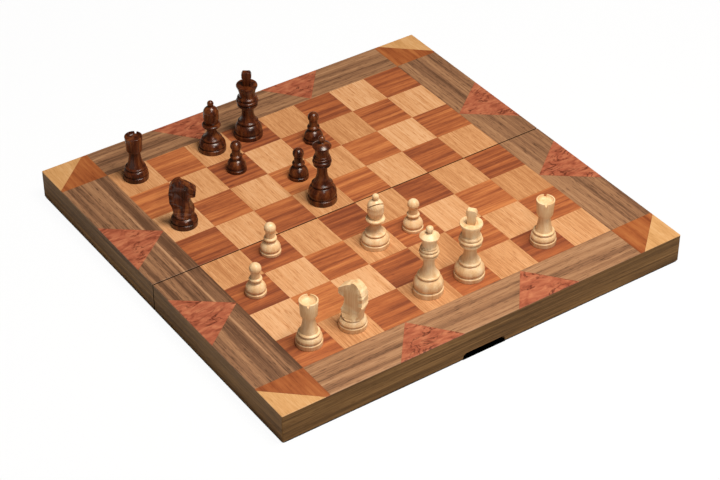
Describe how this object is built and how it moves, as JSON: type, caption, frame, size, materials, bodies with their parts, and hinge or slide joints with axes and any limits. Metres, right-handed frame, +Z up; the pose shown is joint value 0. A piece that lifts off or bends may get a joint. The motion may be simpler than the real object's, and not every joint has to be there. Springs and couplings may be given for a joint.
{
  "type": "folding chess case with chessmen",
  "caption": "Folding wooden chess case of hinged trays with an inlaid marquetry board on top and turned chessmen standing on it.",
  "frame": {"origin": "on the table, under the middle of the open board", "axes": "+X along the seam to the right of the light player, +Y away from the light player, +Z up"},
  "size_m": [0.411, 0.399, 0.0972],
  "materials": {
    "walnut_veneer": "satin lacquer over walnut",
    "walnut_solid": "satin lacquer over walnut",
    "light_square_veneer": "satin lacquer over pale veneer",
    "dark_square_veneer": "satin lacquer over red-brown veneer",
    "burl_veneer": "satin lacquer over red burl",
    "corner_pale_veneer": "satin lacquer over pale veneer",
    "corner_brown_veneer": "satin lacquer over brown veneer",
    "plywood": "sanded",
    "dark_man_wood": "dark stain under gloss lacquer",
    "light_man_wood": "clear satin lacquer over boxwood",
    "felt": "short pile",
    "foot_felt": "short pile",
    "hinge_brass": "polished",
    "screw_brass": "turned",
    "magnet_nickel": "nickel plated"
  },
  "bodies": {
    "far_half": {"far_end_wall": "walnut_solid", "far_left_wall": "walnut_solid", "far_right_wall": "walnut_solid", "far_spine_wall": "walnut_solid", "far_panel": "plywood", "far_lining": "felt", "far_light_squares": "light_square_veneer", "far_dark_squares": "dark_square_veneer", "far_border": "walnut_veneer", "far_burl_triangles": "burl_veneer", "far_corner_tips": "corner_pale_veneer", "far_corner_blocks": "corner_brown_veneer", "far_magnets": "magnet_nickel", "far_feet": "foot_felt", "far_hinge_screws": "screw_brass", "left_hinge_far_leaf": "hinge_brass", "left_hinge_pin": "hinge_brass", "right_hinge_far_leaf": "hinge_brass", "right_hinge_pin": "hinge_brass"},
    "near_half": {"near_end_wall": "walnut_solid", "near_left_wall": "walnut_solid", "near_right_wall": "walnut_solid", "near_spine_wall": "walnut_solid", "near_panel": "plywood", "near_lining": "felt", "near_light_squares": "light_square_veneer", "near_dark_squares": "dark_square_veneer", "near_border": "walnut_veneer", "near_burl_triangles": "burl_veneer", "near_corner_tips": "corner_pale_veneer", "near_corner_blocks": "corner_brown_veneer", "near_magnets": "magnet_nickel", "near_feet": "foot_felt", "near_hinge_screws": "screw_brass", "left_hinge_near_leaf": "hinge_brass", "right_hinge_near_leaf": "hinge_brass"},
    "dark_king": {"dark_king": "dark_man_wood", "dark_king_finial": "dark_man_wood"},
    "dark_queen": {"dark_queen": "dark_man_wood"},
    "dark_bishop": {"dark_bishop": "dark_man_wood"},
    "dark_knight": {"dark_knight_foot": "dark_man_wood", "dark_knight_head": "dark_man_wood"},
    "dark_rook": {"dark_rook": "dark_man_wood"},
    "dark_pawn_c7": {"dark_pawn_c7": "dark_man_wood"},
    "dark_pawn_d6": {"dark_pawn_d6": "dark_man_wood"},
    "dark_pawn_e7": {"dark_pawn_e7": "dark_man_wood"},
    "light_king": {"light_king": "light_man_wood", "light_king_finial": "light_man_wood"},
    "light_queen": {"light_queen": "light_man_wood"},
    "light_bishop": {"light_bishop": "light_man_wood"},
    "light_knight": {"light_knight_foot": "light_man_wood", "light_knight_head": "light_man_wood"},
    "light_rook_a1": {"light_rook_a1": "light_man_wood"},
    "light_rook_g1": {"light_rook_g1": "light_man_wood"},
    "light_pawn_a3": {"light_pawn_a3": "light_man_wood"},
    "light_pawn_b4": {"light_pawn_b4": "light_man_wood"},
    "light_pawn_e3": {"light_pawn_e3": "light_man_wood"}
  },
  "joints": [
    {"name": "board_fold", "type": "hinge", "parent": "far_half", "child": "near_half", "pos_m": [0, 0, 0.00125], "axis": [1, 0, 0], "range_deg": [0, 179.6]},
    {"name": "lift_dark_king", "type": "slide", "parent": "far_half", "child": "dark_king", "axis": [0, 0, 1], "range_m": [0, 0.075]},
    {"name": "lift_dark_queen", "type": "slide", "parent": "far_half", "child": "dark_queen", "axis": [0, 0, 1], "range_m": [0, 0.075]},
    {"name": "lift_dark_bishop", "type": "slide", "parent": "far_half", "child": "dark_bishop", "axis": [0, 0, 1], "range_m": [0, 0.075]},
    {"name": "lift_dark_knight", "type": "slide", "parent": "far_half", "child": "dark_knight", "axis": [0, 0, 1], "range_m": [0, 0.075]},
    {"name": "lift_dark_rook", "type": "slide", "parent": "far_half", "child": "dark_rook", "axis": [0, 0, 1], "range_m": [0, 0.075]},
    {"name": "lift_dark_pawn_c7", "type": "slide", "parent": "far_half", "child": "dark_pawn_c7", "axis": [0, 0, 1], "range_m": [0, 0.075]},
    {"name": "lift_dark_pawn_d6", "type": "slide", "parent": "far_half", "child": "dark_pawn_d6", "axis": [0, 0, 1], "range_m": [0, 0.075]},
    {"name": "lift_dark_pawn_e7", "type": "slide", "parent": "far_half", "child": "dark_pawn_e7", "axis": [0, 0, 1], "range_m": [0, 0.075]},
    {"name": "lift_light_king", "type": "slide", "parent": "near_half", "child": "light_king", "axis": [0, 0, 1], "range_m": [0, 0.075]},
    {"name": "lift_light_queen", "type": "slide", "parent": "near_half", "child": "light_queen", "axis": [0, 0, 1], "range_m": [0, 0.075]},
    {"name": "lift_light_bishop", "type": "slide", "parent": "near_half", "child": "light_bishop", "axis": [0, 0, 1], "range_m": [0, 0.075]},
    {"name": "lift_light_knight", "type": "slide", "parent": "near_half", "child": "light_knight", "axis": [0, 0, 1], "range_m": [0, 0.075]},
    {"name": "lift_light_rook_a1", "type": "slide", "parent": "near_half", "child": "light_rook_a1", "axis": [0, 0, 1], "range_m": [0, 0.075]},
    {"name": "lift_light_rook_g1", "type": "slide", "parent": "near_half", "child": "light_rook_g1", "axis": [0, 0, 1], "range_m": [0, 0.075]},
    {"name": "lift_light_pawn_a3", "type": "slide", "parent": "near_half", "child": "light_pawn_a3", "axis": [0, 0, 1], "range_m": [0, 0.075]},
    {"name": "lift_light_pawn_b4", "type": "slide", "parent": "near_half", "child": "light_pawn_b4", "axis": [0, 0, 1], "range_m": [0, 0.075]},
    {"name": "lift_light_pawn_e3", "type": "slide", "parent": "near_half", "child": "light_pawn_e3", "axis": [0, 0, 1], "range_m": [0, 0.075]}
  ]
}
